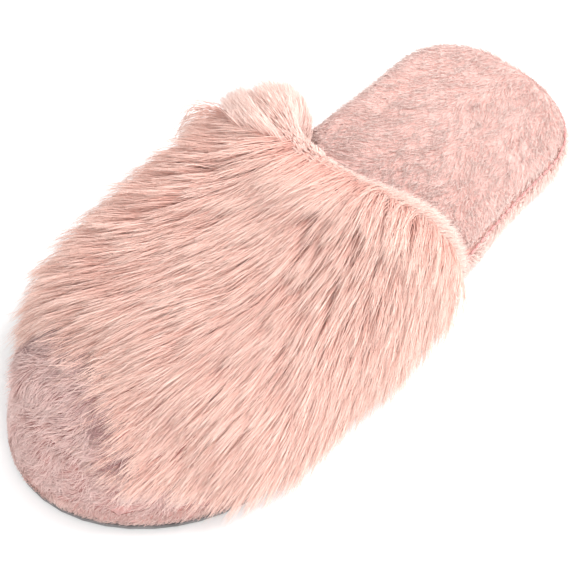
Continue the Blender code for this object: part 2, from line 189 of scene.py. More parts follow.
def strand_material(name, root, middle, tip, dark, middling, roughness=0.6, sheen=0.08):
    """Fibre that lightens from root to tip, and from dark to pale with the strand's tone."""
    n = Nodes(name)
    place = n.add("ShaderNodeUVMap", uv_map=UV_MAP).outputs["UV"]
    parts = n.add("ShaderNodeSeparateXYZ", Vector=place)
    along = n.ramp(parts.outputs["Y"], ((0.0, root), (0.45, middle), (1.0, tip)))
    tone = n.ramp(parts.outputs["X"], ((0.0, dark), (0.5, middling), (1.0, (1, 1, 1))))
    colour = n.blend(1.0, along, tone, "MULTIPLY")
    return n.surface(colour, roughness, sheen, specular=0.15, sheen_tint=tip)


def cloth_material(name, dark, light, painted_toe_shade=(1, 1, 1), scale=900.0, bump=0.25 * MM):
    """The knitted ground under a pile, with painted shade that darkens it towards the toe."""
    n = Nodes(name)
    where = n.object_coordinates()
    fine = n.noise(where, scale)
    broad = n.noise(where, 60.0)
    colour = n.blend(broad, n.ramp(fine, ((0.3, dark), (0.7, light))), light, "MULTIPLY")
    parts = n.add("ShaderNodeSeparateXYZ", Vector=where)
    # Painted shade: towards the toe the colour is multiplied by the toe's shade colour.
    toe = n.add("ShaderNodeMapRange", Value=parts.outputs["Y"], **{"From Min": -0.04, "From Max": -0.10})
    colour = n.blend(toe.outputs[0], colour, n.blend(1.0, colour, painted_toe_shade, "MULTIPLY"))
    n.bump(fine, bump)
    return n.surface(colour, 0.9, sheen=0.3)


def foam_material():
    n = Nodes("foam_cells")
    where = n.object_coordinates()
    cells = n.add("ShaderNodeTexVoronoi", Vector=where, Scale=1400.0).outputs["Distance"]
    colour = n.ramp(cells, ((0.0, (0.64, 0.43, 0.38)), (0.5, (0.84, 0.65, 0.59))))
    n.bump(cells, 0.2 * MM)
    return n.surface(colour, 0.9)


def board_material():
    n = Nodes("pressed_board")
    fibres = n.noise(n.object_coordinates(), 700.0, detail=5.0)
    colour = n.ramp(fibres, ((0.3, (0.48, 0.31, 0.27)), (0.7, (0.68, 0.48, 0.43))))
    n.bump(fibres, 0.15 * MM)
    return n.surface(colour, 0.85)


def rubber_material():
    n = Nodes("sole_rubber")
    where = n.object_coordinates()
    grain = n.noise(where, 1500.0, detail=2.0)
    scuffs = n.noise(where, 90.0, detail=6.0, roughness=0.7)
    colour = n.ramp(scuffs, ((0.35, (0.10, 0.095, 0.095)), (0.7, (0.19, 0.18, 0.18))))
    roughness = n.add("ShaderNodeMapRange", Value=scuffs, **{"To Min": 0.6, "To Max": 0.85}).outputs[0]
    n.bump(grain, 0.12 * MM)
    return n.surface(colour, roughness)


def thread_material(name, dark, light):
    n = Nodes(name)
    where = n.object_coordinates()
    twist = n.noise(where, 2600.0, detail=2.0)
    colour = n.ramp(twist, ((0.3, dark), (0.7, light)))
    n.bump(twist, 0.1 * MM)
    return n.surface(colour, 0.6, sheen=0.2)


# ---------------------------------------------------------------- surfaces to grow pile on


class Skin:
    """The part of a CAD node's surface that keep accepts, with smooth normals."""

    def __init__(self, node, keep, flip=False):
        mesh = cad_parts[node].data
        mesh.calc_loop_triangles()
        points = np.empty(len(mesh.vertices) * 3)
        mesh.vertices.foreach_get("co", points)
        corners = np.empty(len(mesh.loop_triangles) * 3, np.int32)
        mesh.loop_triangles.foreach_get("vertices", corners)
        keys = np.round(points.reshape(-1, 3) / WELD).astype(np.int64)
        _, first, same = np.unique(keys, axis=0, return_index=True, return_inverse=True)
        self.points = points.reshape(-1, 3)[first]
        self.faces = same.reshape(-1)[corners].reshape(-1, 3)
        if flip:
            self.faces = self.faces[:, ::-1]
        self.measure()
        kept = keep(self.points[self.faces].mean(axis=1), unit(self.doubled))
        self.faces = self.faces[kept]
        self.measure()

    def measure(self):
        a, b, c = (self.points[self.faces[:, i]] for i in range(3))
        self.doubled = np.cross(b - a, c - a)
        self.areas = np.linalg.norm(self.doubled, axis=1) / 2
        normals = np.zeros_like(self.points)
        for i in range(3):
            np.add.at(normals, self.faces[:, i], self.doubled)
        self.normals = unit(normals)

    def scatter(self, spacing, rng):
        """Points spread evenly over the skin, about this far apart, and their normals."""
        count = max(1, int(self.areas.sum() / spacing**2 * DENSITY))
        places = (np.arange(count) + rng.uniform(0, 1, count)) / count
        faces = np.searchsorted(np.cumsum(self.areas) / self.areas.sum(), places)
        faces = np.minimum(faces, len(self.faces) - 1)
        r, s = np.sqrt(rng.uniform(0, 1, count)), rng.uniform(0, 1, count)
        weights = np.stack([1 - r, r * (1 - s), r * s], axis=1)[:, :, None]
        corners = self.faces[faces]
        return (self.points[corners] * weights).sum(1), unit((self.normals[corners] * weights).sum(1))

    def normal_at(self, points):
        """The smooth normal nearest to each point."""
        tree, _, normals = self.lookup()
        return normals[[tree.find(point)[1] for point in points]]

    def lookup(self):
        """A tree of dense samples, to find the nearest place and normal on the skin."""
        rng = np.random.default_rng(1)
        places, normals = self.scatter(1.2 * MM / math.sqrt(1 / DENSITY), rng)
        tree = KDTree(len(places))
        for i, place in enumerate(places):
            tree.insert(place, i)
        tree.balance()
        return tree, places, normals


def from_spine(points, toe_end=SPINE_TOE):
    """The level way to each point from the nearest place on the spine."""
    away = points[:, :2].copy()
    away[:, 1] -= np.clip(away[:, 1], toe_end, SPINE_HEEL)
    return away


def outward(spine_height):
    """Accepts faces that look away from the slipper's long axis at this height."""

    def keep(centres, normals):
        level = from_spine(centres, UPPER_SPINE_TOE)
        away = np.column_stack([level, centres[:, 2] - spine_height])
        return np.sum(unit(away) * normals, axis=1) > 0.25

    return keep


def inward(spine_height):
    """Accepts faces that look towards that axis."""
    accept = outward(spine_height)
    return lambda centres, normals: accept(centres, -normals)


# ---------------------------------------------------------------- strands


def add_pile(name, paths, radius, tones, look, rng):
    """Strands along the paths, in pieces that each hold as many as they may."""
    radii = radius * rng.uniform(*RADIUS_SPREAD, len(paths))
    triangles = 6 * (paths.shape[1] - 2) + 4
    pieces = math.ceil(len(paths) * triangles / MOST_TRIANGLES)
    for i, part in enumerate(np.array_split(np.arange(len(paths)), pieces)):
        strand_piece(f"{name}_{i + 1:02d}", paths[part], radii[part], tones[part], look)


def strand_piece(name, paths, radii, tones, look):
    """One mesh of closed three-sided spikes along the paths, an array of strands by points by 3."""
    strands, places = paths.shape[:2]
    rings = places - 1
    along = unit(np.gradient(paths, axis=1))
    rng = np.random.default_rng(strands)
    side = unit(np.cross(along, unit(rng.normal(size=(strands, 1, 3)))))
    other = np.cross(along, side)
    taper = np.sqrt(1 - (np.arange(rings) / rings) ** 1.6) * (0.8 + 0.2 * np.arange(rings) / rings)
    width = radii[:, None] * taper[None, :]
    verts = np.empty((strands, rings * 3 + 1, 3))
    for j in range(3):
        angle = 2 * math.pi * j / 3
        turned = side * math.cos(angle) + other * math.sin(angle)
        verts[:, j : rings * 3 : 3] = paths[:, :rings] + turned[:, :rings] * width[:, :, None]
    verts[:, -1] = paths[:, -1]

    quads, tips = [], []
    for k in range(rings - 1):
        for j in range(3):
            a, b = 3 * k + j, 3 * k + (j + 1) % 3
            quads.append((a, b, b + 3, a + 3))
    top = 3 * (rings - 1)
    for j in range(3):
        tips.append((top + j, top + (j + 1) % 3, 3 * rings))
    tips.append((2, 1, 0))
    one = np.concatenate([np.array(quads).ravel(), np.array(tips).ravel()])
    totals = np.concatenate([np.full(len(quads), 4), np.full(len(tips), 3)])
    stride = rings * 3 + 1
    index = (one[None, :] + np.arange(strands)[:, None] * stride).ravel()
    totals = np.tile(totals, strands)
    starts = np.concatenate([[0], np.cumsum(totals)[:-1]])

    mesh = bpy.data.meshes.new(name)
    mesh.vertices.add(strands * stride)
    mesh.vertices.foreach_set("co", verts.astype(np.float32).ravel())
    mesh.loops.add(len(index))
    mesh.loops.foreach_set("vertex_index", index.astype(np.int32))
    mesh.polygons.add(len(totals))
    mesh.polygons.foreach_set("loop_start", starts.astype(np.int32))
    mesh.polygons.foreach_set("use_smooth", np.ones(len(totals), bool))
    level = np.minimum(one // 3, rings) / rings
    corner = np.where(one == 3 * rings, 1, one % 3) - 1
    u = np.clip(tones[:, None], 0.02, 0.98) + corner[None, :] * 0.004
    v = np.clip(np.broadcast_to(level[None, :], u.shape), 0.01, 0.99)
    layer = mesh.uv_layers.new(name=UV_MAP)
    layer.uv.foreach_set("vector", np.stack([u, v], axis=-1).astype(np.float32).ravel())
    mesh.update(calc_edges=True)
    mesh.validate()
    mesh.materials.append(look)
    return add_piece(name, mesh)


def add_piece(name, mesh):
    piece = bpy.data.objects.new(name, mesh)
    bpy.context.scene.collection.objects.link(piece)
    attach(piece, "root")
    return piece


def comb_long(points, normals):
    """The combing of the long pile: towards the toe, fanning out down the sides, most on the inner side."""
    downhill = unit(tangential(np.broadcast_to(-UP, points.shape), normals) + 1e-6)
    tilt = smoothstep(np.linalg.norm(normals[:, :2], axis=1) / 0.6)
    inner = smoothstep(-normals[:, 0] / 0.6)
    toewards = smoothstep(-points[:, 1] / (75 * MM))
    fan = tilt * mix(mix(0.35, 0.5, toewards), mix(1.8, 1.2, toewards), inner)
    axis = mix(COMB_AT_THROAT, COMB_AT_TOE, toewards[:, None])
    flow = tangential(axis, normals) + downhill * fan[:, None]
    swirl = wave_noise(points, 34 * MM, 5) * 0.10 + wave_noise(points, 13 * MM, 6) * 0.09
    return unit(flow + tangential(swirl, normals))


def grow_guides(skin, roots, normals, lengths, lift, loft, rng):
    """Paths that leave the roots, lie down along the combing and rise to the loft above the skin."""
    tree, places, skin_normals = skin.lookup()
    step = (lengths / PILE_STEPS)[:, None]
    point = roots.copy()
    heading = unit(comb_long(roots, normals) + normals * lift[:, None])
    heading = unit(heading + rng.normal(size=heading.shape) * 0.09)
    paths = [point]
    for k in range(PILE_STEPS):
        point = point + heading * step
        nearest = np.array([tree.find(p)[1] for p in point])
        normal = skin_normals[nearest]
        height = np.sum((point - places[nearest]) * normal, axis=1)
        s = (k + 1) / PILE_STEPS
        wanted = loft * (1 - (1 - s) ** 2)
        point = point + normal * np.maximum(wanted - height, 0)[:, None] * 0.5
        point[:, 2] = np.maximum(point[:, 2], 1.5 * MM)
        local = unit(comb_long(point, normal) - UP * 0.15)
        heading = unit(heading * PILE_STIFFNESS + local * (1 - PILE_STIFFNESS))
        paths.append(point)
    return np.stack(paths, axis=1)


def eased(paths):
    """The paths kept off the floor, and within the slipper's reach to each side."""
    x = paths[:, :, 0]
    over = np.maximum(np.abs(x) - SIDE_LIMIT, 0)
    room = 5 * MM
    paths[:, :, 0] = x - np.sign(x) * (over - room * np.tanh(over / room))
    paths[:, :, 2] = np.maximum(paths[:, :, 2], 0.7 * MM)
    return paths


def lock_strands(guides, normals, rng):
    """Strands round each guide, which close in on its tip."""
    count = LOCK_STRANDS
    guide = np.repeat(guides, count, axis=0)
    normal = np.repeat(normals, count, axis=0)
    total = len(guide)
    spread = tangential(rng.normal(size=(total, 3)), normal) * LOCK_SPREAD
    s = np.linspace(0, 1, guide.shape[1])[None, :, None]
    closing = 1 - LOCK_CLOSING * smoothstep(s * 1.1)
    reach = rng.uniform(0.62, 1.06, (total, 1, 1))
    root = guide[:, :1]
    stretched = root + (guide - root) * reach
    wander = rng.normal(size=(total, 1, 3)) * 0.9 * MM * s**1.5
    stray = (rng.uniform(0, 1, (total, 1, 1)) < 0.07) * rng.normal(size=(total, 1, 3)) * 3.2 * MM * s**1.3
    return eased(stretched + spread[:, None] * closing + wander + stray)


def plush_strands(skin, spacing, length, lift, comb, rng, curl=0.35, sink=0.3 * MM, steps=4, messy=0.35):
    """Short pile over a skin: paths that rise and lean along comb."""
    roots, normals = skin.scatter(spacing, rng)
    count = len(roots)
    lean = unit(comb(roots, normals) + tangential(rng.normal(size=(count, 3)), normals) * messy)
    lengths = length * rng.uniform(0.7, 1.15, (count, 1))
    s = np.linspace(0, 1, steps + 1)[None, :, None]
    rise = (normals * lift)[:, None] * (s - 0.45 * s**2)
    forward = lean[:, None] * (s**1.25) * math.sqrt(max(1 - lift**2, 0.1))
    side = np.cross(lean, normals)[:, None] * curl * rng.normal(size=(count, 1, 1)) * s**2 * 0.5
    paths = (roots - normals * sink)[:, None] + (rise + forward + side) * lengths[:, :, None]
    paths[:, :, 2] = np.maximum(paths[:, :, 2], 0.4 * MM)
    return paths, roots


# ---------------------------------------------------------------- bases under the pile


def base_piece(name, node, look, lump, sink, toe_sink, skin):
    """A copy of a soft CAD solid, finely divided, with its outer skin sunk and made uneven."""
    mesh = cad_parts[node].data.copy()
    mesh.name = name
    bm = bmesh.new()
    bm.from_mesh(mesh)
    bmesh.ops.remove_doubles(bm, verts=bm.verts, dist=WELD)
    long_edges = [e for e in bm.edges if e.calc_length() > 5 * MM]
    bmesh.ops.subdivide_edges(bm, edges=long_edges, cuts=1, use_grid_fill=False)
    bmesh.ops.triangulate(bm, faces=bm.faces)
    tree, places, normals = skin.lookup()
    points = np.array([v.co for v in bm.verts])
    uneven = wave_noise(points, 9 * MM, 11, count=1)[:, 0]
    toe = smoothstep((-40 * MM - points[:, 1]) / (60 * MM))
    for vert, offset, share in zip(bm.verts, uneven, toe):
        _, i, distance = tree.find(vert.co)
        if distance < 1.4 * MM:
            vert.co -= Vector(normals[i]) * (sink + toe_sink * share + lump * offset)
    bm.to_mesh(mesh)
    bm.free()
    mesh.materials.clear()
    mesh.materials.append(look)
    mesh.shade_smooth()
    piece = add_piece(name, mesh)
    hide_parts(node)
    return piece


# ---------------------------------------------------------------- the upper


def pile_tone(roots, rng, base=0.5, spread=0.16, size=26 * MM, seed=3, patch=0.10):
    """A tone for each strand: patches of about this size, then each strand's own difference."""
    patches = wave_noise(roots, size, seed, count=1)[:, 0] * patch
    return np.clip(base + patches + rng.normal(size=len(roots)) * spread, 0, 1)


def long_pile_roots(skin, rng):
    """The locks' roots and normals, over the upper and the crest of the throat's binding."""
    crest = Skin("throat_binding", crest_faces)
    grown = [skin.scatter(LOCK_SPACING, rng), crest.scatter(LOCK_SPACING * 0.7, rng)]
    roots, normals = (np.concatenate(parts) for parts in zip(*grown))
    ragged = wave_noise(roots, 9 * MM, 15, count=1)[:, 0] * 3 * MM
    kept = (beyond_long_pile(roots) < ragged) & (beyond_collar(roots) > 0)
    return roots[kept], normals[kept]


def long_pile_lie(roots, normals, rng):
    """Each lock's length, how steeply it leaves its root, and how high its tip comes above the skin.

    The pile is short and flat at the toe, stands off both sides, and flares up beside the throat's inner end.
    """
    count = len(roots)
    toe = smoothstep((-62 * MM - roots[:, 1]) / (32 * MM))
    inner = smoothstep(-normals[:, 0] / 0.5) * (1 - toe)
    outer = smoothstep(normals[:, 0] / 0.5) * smoothstep((roots[:, 1] + 25 * MM) / (30 * MM))
    flare = smoothstep((-roots[:, 0] - 22 * MM) / (18 * MM)) * smoothstep((roots[:, 1] - 6 * MM) / (20 * MM))
    flare *= 1 - 0.45 * smoothstep((-roots[:, 0] - 38 * MM) / (12 * MM))

    lengths = PILE_LENGTH * rng.uniform(0.8, 1.12, count) * mix(1.0, 0.64, toe) * (1 + 0.4 * flare)
    over_cap = mix(8.0, 2.0, smoothstep(roots[:, 0] / (30 * MM)))
    lowest = mix(1.5, over_cap, smoothstep((-35 * MM - roots[:, 1]) / (50 * MM))) * MM
    lengths = np.minimum(lengths, np.maximum(roots[:, 2] - lowest, 0) * 1.1 + 6 * MM)

    lift = (mix(0.42, 0.2, toe) + 0.4 * inner + 0.35 * outer + 2.6 * flare) * rng.uniform(0.7, 1.3, count)
    loft = (mix(8.5, 4.0, toe) + 7 * inner + 5 * outer + 19 * flare) * MM * rng.uniform(0.75, 1.2, count)
    return lengths, lift, loft


def make_long_pile(skin, look):
    """The upper's long pile, in pieces that run from the toe to the throat."""
    rng = np.random.default_rng(20)
    roots, normals = long_pile_roots(skin, rng)
    lengths, lift, loft = long_pile_lie(roots, normals, rng)
    guides = grow_guides(skin, roots, normals, lengths, lift, loft, rng)
    paths = lock_strands(guides, normals, rng)
    order = np.argsort(paths[:, 0, 1], kind="stable")
    paths = paths[order]
    lock_tone = np.repeat(rng.normal(size=len(guides)) * 0.10, LOCK_STRANDS)[order]
    # Painted shade: the strands are darker towards the inner side, away from the light.
    inwards = np.clip(-paths[:, 0, 0] / (50 * MM), 0, 1)
    tones = np.clip(pile_tone(paths[:, 0], rng, spread=0.12) + lock_tone - 0.13 * inwards, 0, 1)
    add_pile("long_pile", paths, PILE_RADIUS, tones, look, rng)


def beyond_collar(points):
    """How far each point lies beyond the strip along the throat's inner end that the lining's pile covers."""
    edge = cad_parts["throat_binding"].data.vertices
    tree = KDTree(len(edge))
    for i, vert in enumerate(edge):
        tree.insert(vert.co, i)
    tree.balance()
    gaps = np.array([tree.find(point)[2] for point in points])
    return gaps - COLLAR_WIDTH * smoothstep((-points[:, 0] - 12 * MM) / (14 * MM))


def crest_faces(centres, normals):
    """The outward-facing side of the throat's binding, up to its inner end, and over its top at the outer."""
    most = mix(0.4, 0.85, smoothstep(centres[:, 0] / (30 * MM)))
    return outward(20 * MM)(centres, normals) & (normals[:, 1] < most) & (centres[:, 0] > -22 * MM)


def beyond_long_pile(points):
    """How far each point lies beyond the long pile's last roots, towards the toe."""
    across = smoothstep((points[:, 0] + 30 * MM) / (70 * MM))
    return mix(TOE_CAP_EDGE[0], TOE_CAP_EDGE[1], across) - points[:, 1]


def backing_thickness(points):
    """The knitted ground's thickness: thin under the long pile, thicker under the toe's plush."""
    toe = smoothstep((beyond_long_pile(points) + 12 * MM) / (20 * MM))
    return (0.8 + 2.0 * toe * smoothstep((points[:, 2] - 13 * MM) / (12 * MM))) * MM


def make_backing(skin, look, toe_look):
    """The knitted ground that the pile grows from, in a second colour at the toe."""
    used, faces = np.unique(skin.faces, return_inverse=True)
    faces = faces.reshape(-1, 3)
    inner, count = skin.points[used], len(used)
    outer = inner + skin.normals[used] * backing_thickness(inner)[:, None]
    edges = {(int(face[i]), int(face[(i + 1) % 3])) for face in faces for i in range(3)}
    rim = [(b, a, a + count, b + count) for a, b in edges if (b, a) not in edges]
    under = [tuple(face[::-1]) for face in faces.tolist()]
    over = [tuple(face) for face in (faces + count).tolist()]
    mesh = bpy.data.meshes.new("upper_backing")
    mesh.from_pydata(np.concatenate([inner, outer]).tolist(), [], under + over + rim)
    mesh.materials.append(look)
    mesh.materials.append(toe_look)
    for polygon in mesh.polygons:
        polygon.material_index = int(beyond_long_pile(np.array([polygon.center]))[0] > -4 * MM)
    mesh.shade_smooth()
    piece = add_piece("upper_backing", mesh)
    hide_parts("upper_fur")


def make_toe_cap(skin, look):
    """Short plush over the toe, from the band up to where the long pile's tips end, with painted shadow that
    darkens it under those tips in patches.
    """
    rng = np.random.default_rng(41)
    comb = comb_towards((-0.4, -0.8, -0.55), 0.55, 15 * MM)
    paths, roots = plush_strands(skin, 0.7 * MM, 9 * MM, 0.4, comb, rng, curl=0.25, sink=0, messy=0.2)
    raised = backing_thickness(roots) - 0.3 * MM
    paths += (raised[:, None] * skin.normal_at(roots))[:, None]
    kept = beyond_long_pile(roots) > -8 * MM
    paths, roots = paths[kept], roots[kept]
    # Painted shadow: the plush darkens under the long pile's tips, deeper in patches.
    shade = smoothstep((14 * MM - beyond_long_pile(roots)) / (18 * MM))
    patches = np.clip(wave_noise(roots, 17 * MM, 12, count=1)[:, 0], 0, 1)
    shade = shade * (0.45 + 0.5 * patches)
    tones = np.clip(pile_tone(roots, rng, base=0.68, spread=0.14, size=6 * MM, patch=0.2) - shade, 0, 1)
    add_pile("toe_cap_pile", paths, 0.15 * MM, tones, look, rng)


def comb_collar(points, normals):
    """Up and out of the throat's inner end, and towards the toe near its top."""
    height = smoothstep((points[:, 2] - 22 * MM) / (30 * MM))[:, None]
    return mix(np.array([-0.7, 0.25, 0.6]), np.array([-0.9, -0.1, 0.5]), height) + normals * 0.35


def comb_heelwards(points, normals):
    """Out of the throat's outer end, towards the heel."""
    return np.broadcast_to(np.array([0.45, 0.8, -0.25]), points.shape)


def make_collar(name, side, comb, length, spacing, radius, look, seed, least=-0.75):
    """The lining's pale pile, which stands out of the throat's rim on one side.

    It leaves out faces that look towards the toe by more than least allows.
    """
    rng = np.random.default_rng(seed)

    def one_side(centres, normals):
        return (side * centres[:, 0] > -0.5 * MM) & (normals[:, 1] > least)

    skin = Skin("throat_binding", one_side)
    paths, roots = plush_strands(skin, spacing, length, 0.6, comb, rng, curl=0.1, steps=5, messy=0.1)
    strength = smoothstep((side * roots[:, 0] - 6 * MM) / (28 * MM))
    paths = roots[:, None] + (paths - roots[:, None]) * mix(0.22, 1.0, strength)[:, None, None]
    tones = pile_tone(roots, rng, base=0.7, spread=0.12, size=9 * MM)
    add_pile(name, eased(paths), radius, tones, look, rng)


def make_collar_strip(skin, look):
    """The same pale pile on the strip beside the binding, between it and the long pile."""
    rng = np.random.default_rng(44)
    paths, roots = plush_strands(
        skin, 0.45 * MM, 16 * MM, 0.62, comb_collar, rng, curl=0.1, steps=5, messy=0.1
    )
    kept = (beyond_collar(roots) < 2.5 * MM) & (roots[:, 0] < -12 * MM)
    paths, roots = paths[kept], roots[kept]
    tones = pile_tone(roots, rng, base=0.65, spread=0.12, size=9 * MM)
    add_pile("collar_pile_strip", eased(paths), 0.18 * MM, tones, look, rng)


# ---------------------------------------------------------------- short plush


def comb_towards(direction, swirl=0.5, size=24 * MM, seed=8):
    """A combing field: one direction, turned by smooth swirls."""

    def comb(points, normals):
        straight = np.broadcast_to(np.array(direction, float), points.shape)
        field = straight + wave_noise(points, size, seed) * swirl
        return unit(tangential(field, normals) + 1e-6)

    return comb


def comb_footbed(points, normals):
    """Towards the toe, and out to both sides of the footbed's middle."""
    sideways = np.clip(points[:, 0] / (38 * MM), -1, 1)
    field = np.column_stack([sideways * 0.9, np.full(len(points), -0.8), np.zeros(len(points))])
    return unit(tangential(field + wave_noise(points, 26 * MM, 9) * 0.3, normals) + 1e-6)


def make_plush(name, node, keep, base_look, strand_look, spacing, length, lift, comb, seed,
               sink, toe_sink=0.0, tone=0.5, painted_toe_shade_tone=None, radius=0.14 * MM, toe_scale=1.0, lowest=0.4 * MM,
               lump=0.25 * MM):
    """A base and its short pile, on the part of a CAD node that keep accepts."""
    rng = np.random.default_rng(seed)
    skin = Skin(node, keep)
    base = base_piece(f"{name}_ground", node, base_look, lump, sink, toe_sink, skin)
    paths, roots = plush_strands(skin, spacing, length, lift, comb, rng, sink=sink + 0.3 * MM)
    toe = smoothstep((-40 * MM - roots[:, 1]) / (60 * MM))
    paths = paths[:, :1] + (paths - paths[:, :1]) * mix(1.0, toe_scale, toe)[:, None, None]
    if toe_sink:
        paths -= (skin.normal_at(roots) * toe[:, None] * toe_sink)[:, None]
    paths[:, :, 2] = np.maximum(paths[:, :, 2], lowest)
    # Painted shade: the strands' tone can fall towards the toe.
    base_tone = tone if painted_toe_shade_tone is None else mix(tone, painted_toe_shade_tone, toe)
    tones = pile_tone(roots, rng, base=base_tone, spread=0.14, size=14 * MM, seed=seed)
    add_pile(f"{name}_pile", paths, radius, tones, strand_look, rng)
    return base


def footbed_faces(centres, normals):
    """The footbed cover's upper side and its outer edge."""
    return (normals[:, 2] > -0.2) & (centres[:, 2] > 12.9 * MM) & outer_side(centres, normals)


def outer_side(centres, normals):
    """Rejects the inside of the cover, whose faces look down or inwards."""
    sideways = np.sum(unit(from_spine(centres)) * normals[:, :2], axis=1)
    return (normals[:, 2] > 0.35) | (sideways > 0.2)


def band_faces(centres, normals):
    """The outer side of the toe band, and its top edge."""
    return outward(5 * MM)(centres, normals) | (normals[:, 2] > 0.5)


def wrap_faces(centres, normals):
    """The outer side of the side wrap."""
    return np.sum(unit(from_spine(centres)) * normals[:, :2], axis=1) > 0.25


# ---------------------------------------------------------------- seams


def make_stitches(name, node, look, pitch=3.4 * MM, radius=0.42 * MM, raised=0.0, toe_sunk=0.0):
    """Separate stitches along a CAD thread, each one an arched, tapered stroke."""
    centres = thread_centres(node)
    away = np.column_stack([from_spine(centres), np.zeros(len(centres))])
    centres = centres + unit(away) * raised * smoothstep(centres[:, 1:2] / (40 * MM))
    centres = centres - unit(away) * toe_sunk * smoothstep((-30 * MM - centres[:, 1:2]) / (40 * MM))
    gaps = np.linalg.norm(np.diff(centres, axis=0), axis=1)
    lengths = np.concatenate([[0], np.cumsum(gaps)])
    count = max(2, int(lengths[-1] / pitch))
    paths = []
    for i in range(count):
        span = (i + np.linspace(0.06, 0.94, 6)) * lengths[-1] / count
        path = np.stack([np.interp(span, lengths, centres[:, axis]) for axis in range(3)], axis=1)
        paths.append(path)
    bm = bmesh.new()
    for path in paths:
        add_stitch(bm, path, radius)
    mesh = bpy.data.meshes.new(name)
    bm.to_mesh(mesh)
    bm.free()
    mesh.shade_smooth()
    mesh.materials.append(look)
    piece = add_piece(name, mesh)
    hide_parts(node)


def thread_centres(node):
    """The middle line of a CAD thread, from the rings of its tube."""
    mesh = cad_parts[node].data
    points = np.array([v.co for v in mesh.vertices])
    keys = np.round(points / WELD).astype(np.int64)
    _, first = np.unique(keys, axis=0, return_index=True)
    points = points[np.sort(first)]
    tree = KDTree(len(points))
    for i, point in enumerate(points):
        tree.insert(point, i)
    tree.balance()
    middles, taken = [], set()
    for i in range(len(points)):
        if i in taken:
            continue
        near = [j for _, j, _ in tree.find_range(points[i], 1.0 * MM) if j not in taken]
        taken.update(near)
        middles.append(points[near].mean(axis=0))
    return chain(np.array(middles))


def chain(points):
    """The points in order along their line, by nearest neighbours from one end."""
    middle = points.mean(axis=0)
    start = int(np.argmax(np.linalg.norm(points - middle, axis=1)))
    left, order = set(range(len(points))), [start]
    left.discard(start)
    while left:
        rest = np.array(sorted(left))
        gaps = np.linalg.norm(points[rest] - points[order[-1]], axis=1)
        nearest = int(rest[np.argmin(gaps)])
        if gaps.min() > 25 * MM:
            break
        order.append(nearest)
        left.discard(nearest)
    line = points[order]
    closed = np.linalg.norm(line[0] - line[-1]) < 15 * MM and len(line) > 40
    return np.vstack([line, line[:1]]) if closed else line


def add_stitch(bm, path, radius, sides=6):
    along = unit(np.gradient(path, axis=0))
    rings = []
    for k, (point, direction) in enumerate(zip(path, along)):
        swell = math.sin(math.pi * (k + 0.6) / (len(path) + 0.2)) ** 0.5
        right = unit(np.cross(direction, UP))
        over = np.cross(right, direction)
        ring = []
        for j in range(sides):
            angle = 2 * math.pi * j / sides
            offset = right * math.cos(angle) + over * math.sin(angle)
            ring.append(bm.verts.new(point + offset * radius * swell))
        rings.append(ring)
    for low, high in zip(rings, rings[1:]):
        for j in range(sides):
            k = (j + 1) % sides
            bm.faces.new((low[j], low[k], high[k], high[j]))
    bm.faces.new(rings[0][::-1])
    bm.faces.new(rings[-1])


# ---------------------------------------------------------------- stage


def make_camera():
    a, e = CAMERA_AZIMUTH, CAMERA_ELEVATION
    back = Vector((math.sin(a) * math.cos(e), -math.cos(a) * math.cos(e), math.sin(e)))
    right = Vector((math.cos(a), math.sin(a), 0))
    up = back.cross(right)
    camera = bpy.data.objects.new("camera", bpy.data.cameras.new("camera"))
    camera.data.lens = CAMERA_LENS
    camera.data.sensor_width = CAMERA_SENSOR
    camera.data.clip_end = 50
    aim = right * CAMERA_AIM_RIGHT + up * CAMERA_AIM_UP
    turn = Matrix((right, up, back)).transposed()
    camera.matrix_world = Matrix.Translation(aim + back * CAMERA_DISTANCE) @ turn.to_4x4()
    bpy.context.scene.collection.objects.link(camera)
    bpy.context.scene.camera = camera


def make_softbox(name, place, size, watts):
    light = bpy.data.lights.new(name, "AREA")
    light.shape = "DISK"
    light.size = size
    light.energy = watts
    box = bpy.data.objects.new(name, light)
    box.location = place
    box.rotation_euler = (-Vector(place)).to_track_quat("-Z", "Y").to_euler()
    bpy.context.scene.collection.objects.link(box)


def make_stage():
    world = bpy.data.worlds.new("studio")
    world.use_nodes = True
    background = world.node_tree.nodes["Background"]
    background.inputs["Color"].default_value = (1, 1, 1, 1)
    background.inputs["Strength"].default_value = 1.05
    bpy.context.scene.world = world

    bpy.ops.mesh.primitive_plane_add(size=12)
    floor = bpy.context.object
    floor.name = "floor"
    n = Nodes("floor_paper")
    grain = n.noise(n.object_coordinates(), 40.0)
    tint = n.ramp(grain, ((0.0, (0.93, 0.93, 0.93)), (1.0, (0.95, 0.95, 0.95))))
    floor.data.materials.append(n.surface(tint, 0.9, specular=0.1))

    make_softbox("key", (0.7, 0.9, 1.5), 0.9, 34)
    make_softbox("front_fill", (1.0, -1.0, 1.0), 1.2, 14)
    bpy.context.scene.view_settings.view_transform = "Standard"
    bpy.context.scene.view_settings.exposure = 0.0


# ---------------------------------------------------------------- putting it together


def carried_over():
    """CAD nodes whose shape stays, with their own materials."""
    foam = foam_material()
    looks = {
        "outsole": rubber_material(),
        "insole_board": board_material(),
        "midsole_foam": foam,
        "insole_foam": foam,
        "upper_padding": foam,
    }
    for node, look in looks.items():
        for material_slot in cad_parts[node].material_slots:
            material_slot.link = "OBJECT"
            material_slot.material = look


def long_materials():
    """The long pile's fibre and the knit that it grows from."""
    fibre = strand_material(
        "long_fibre", (0.84, 0.48, 0.41), (0.96, 0.64, 0.555), (1.0, 0.80, 0.715),
        dark=(0.75, 0.61, 0.58), middling=(0.95, 0.92, 0.92)
    )
    return fibre, cloth_material("long_ground", (0.50, 0.20, 0.17), (0.72, 0.37, 0.32))


def plush_materials():
    fibre = strand_material(
        "plush_fibre", (0.75, 0.50, 0.47), (0.80, 0.61, 0.565), (0.81, 0.68, 0.635),
        dark=(0.92, 0.85, 0.84), middling=(0.97, 0.96, 0.96)
    )
    return fibre, cloth_material("plush_ground", (0.74, 0.49, 0.455), (0.83, 0.62, 0.575))


